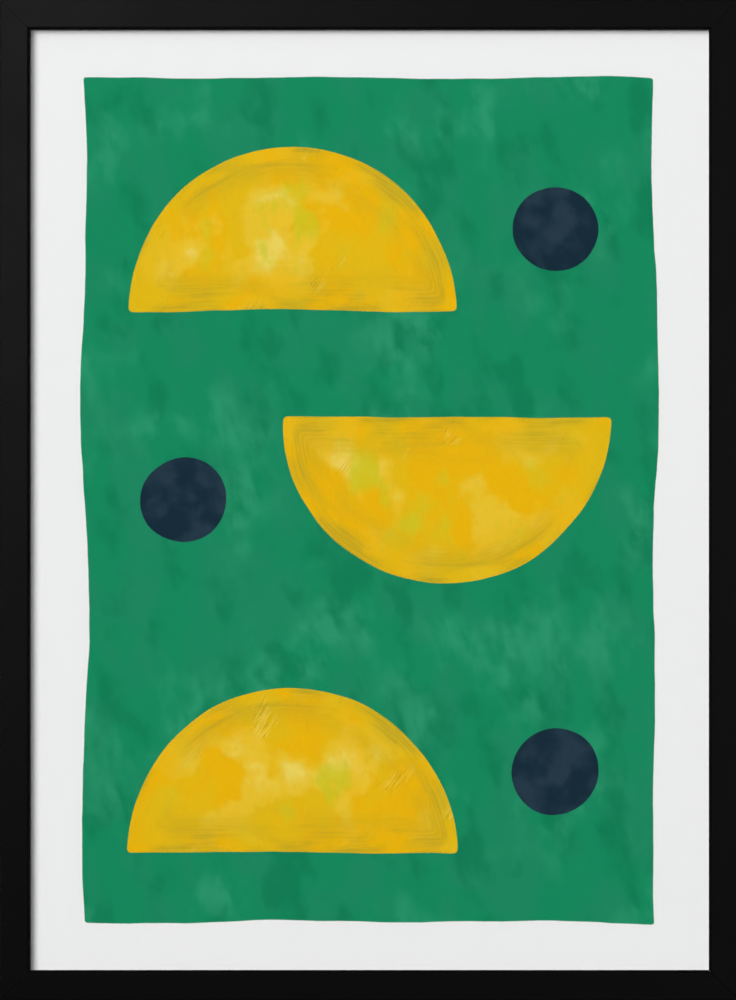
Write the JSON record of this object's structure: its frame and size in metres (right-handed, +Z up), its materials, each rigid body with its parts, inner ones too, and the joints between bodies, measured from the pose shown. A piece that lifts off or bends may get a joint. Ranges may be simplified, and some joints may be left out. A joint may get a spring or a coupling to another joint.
{
  "type": "framed art print",
  "caption": "Upright art print under clear glazing in a slim square-edged black wooden frame, with turn buttons and sawtooth hangers on the back.",
  "frame": {"origin": "the middle notch of the top sawtooth hanger, on the plane of the wall, where the wall nail sits", "axes": "+Z up along the long side, +X to the right as seen from the front, +Y back into the wall; the picture faces -Y"},
  "size_m": [0.532, 0.025, 0.72],
  "materials": {
    "black_lacquer": "satin black lacquer over fine-grained wood, bare wood inside the rebate",
    "clear_acrylic": "clear, polished",
    "print_paper": "matt heavyweight paper, printed on the front",
    "fibre_board": "raw medium-density fibreboard",
    "zinc_steel": "stamped, zinc plated",
    "rivet_aluminium": "satin",
    "pad_rubber": "matt"
  },
  "bodies": {
    "frame": {"rail_top": "black_lacquer", "rail_right": "black_lacquer", "rail_bottom": "black_lacquer", "rail_left": "black_lacquer", "corner_wedge_top_1": "zinc_steel", "corner_wedge_top_2": "zinc_steel", "corner_wedge_right_1": "zinc_steel", "corner_wedge_right_2": "zinc_steel", "corner_wedge_bottom_1": "zinc_steel", "corner_wedge_bottom_2": "zinc_steel", "corner_wedge_left_1": "zinc_steel", "corner_wedge_left_2": "zinc_steel", "glazing": "clear_acrylic", "print_sheet": "print_paper", "backing_board": "fibre_board", "button_rivet_top_1": "rivet_aluminium", "button_rivet_top_2": "rivet_aluminium", "button_rivet_right_1": "rivet_aluminium", "button_rivet_right_2": "rivet_aluminium", "button_rivet_bottom_1": "rivet_aluminium", "button_rivet_bottom_2": "rivet_aluminium", "button_rivet_left_1": "rivet_aluminium", "button_rivet_left_2": "rivet_aluminium", "hanger_top": "zinc_steel", "hanger_left": "zinc_steel", "hanger_pin_top_1": "zinc_steel", "hanger_pin_top_2": "zinc_steel", "hanger_pin_left_1": "zinc_steel", "hanger_pin_left_2": "zinc_steel", "wall_pad_low_left": "pad_rubber", "wall_pad_low_right": "pad_rubber", "wall_pad_high_left": "pad_rubber", "wall_pad_high_right": "pad_rubber"},
    "button_top_1": {"turn_button_top_1": "zinc_steel"},
    "button_top_2": {"turn_button_top_2": "zinc_steel"},
    "button_right_1": {"turn_button_right_1": "zinc_steel"},
    "button_right_2": {"turn_button_right_2": "zinc_steel"},
    "button_bottom_1": {"turn_button_bottom_1": "zinc_steel"},
    "button_bottom_2": {"turn_button_bottom_2": "zinc_steel"},
    "button_left_1": {"turn_button_left_1": "zinc_steel"},
    "button_left_2": {"turn_button_left_2": "zinc_steel"}
  },
  "joints": [
    {"name": "swivel_top_1", "type": "hinge", "parent": "frame", "child": "button_top_1", "pos_m": [-0.13, -0.01375, -0.0235], "axis": [0, 1, 0], "continuous": true},
    {"name": "swivel_top_2", "type": "hinge", "parent": "frame", "child": "button_top_2", "pos_m": [0.13, -0.01375, -0.0235], "axis": [0, 1, 0], "continuous": true},
    {"name": "swivel_right_1", "type": "hinge", "parent": "frame", "child": "button_right_1", "pos_m": [0.232, -0.01375, -0.1595], "axis": [0, 1, 0], "continuous": true},
    {"name": "swivel_right_2", "type": "hinge", "parent": "frame", "child": "button_right_2", "pos_m": [0.232, -0.01375, -0.5395], "axis": [0, 1, 0], "continuous": true},
    {"name": "swivel_bottom_1", "type": "hinge", "parent": "frame", "child": "button_bottom_1", "pos_m": [0.13, -0.01375, -0.6755], "axis": [0, 1, 0], "continuous": true},
    {"name": "swivel_bottom_2", "type": "hinge", "parent": "frame", "child": "button_bottom_2", "pos_m": [-0.13, -0.01375, -0.6755], "axis": [0, 1, 0], "continuous": true},
    {"name": "swivel_left_1", "type": "hinge", "parent": "frame", "child": "button_left_1", "pos_m": [-0.232, -0.01375, -0.5395], "axis": [0, 1, 0], "continuous": true},
    {"name": "swivel_left_2", "type": "hinge", "parent": "frame", "child": "button_left_2", "pos_m": [-0.232, -0.01375, -0.1595], "axis": [0, 1, 0], "continuous": true}
  ]
}
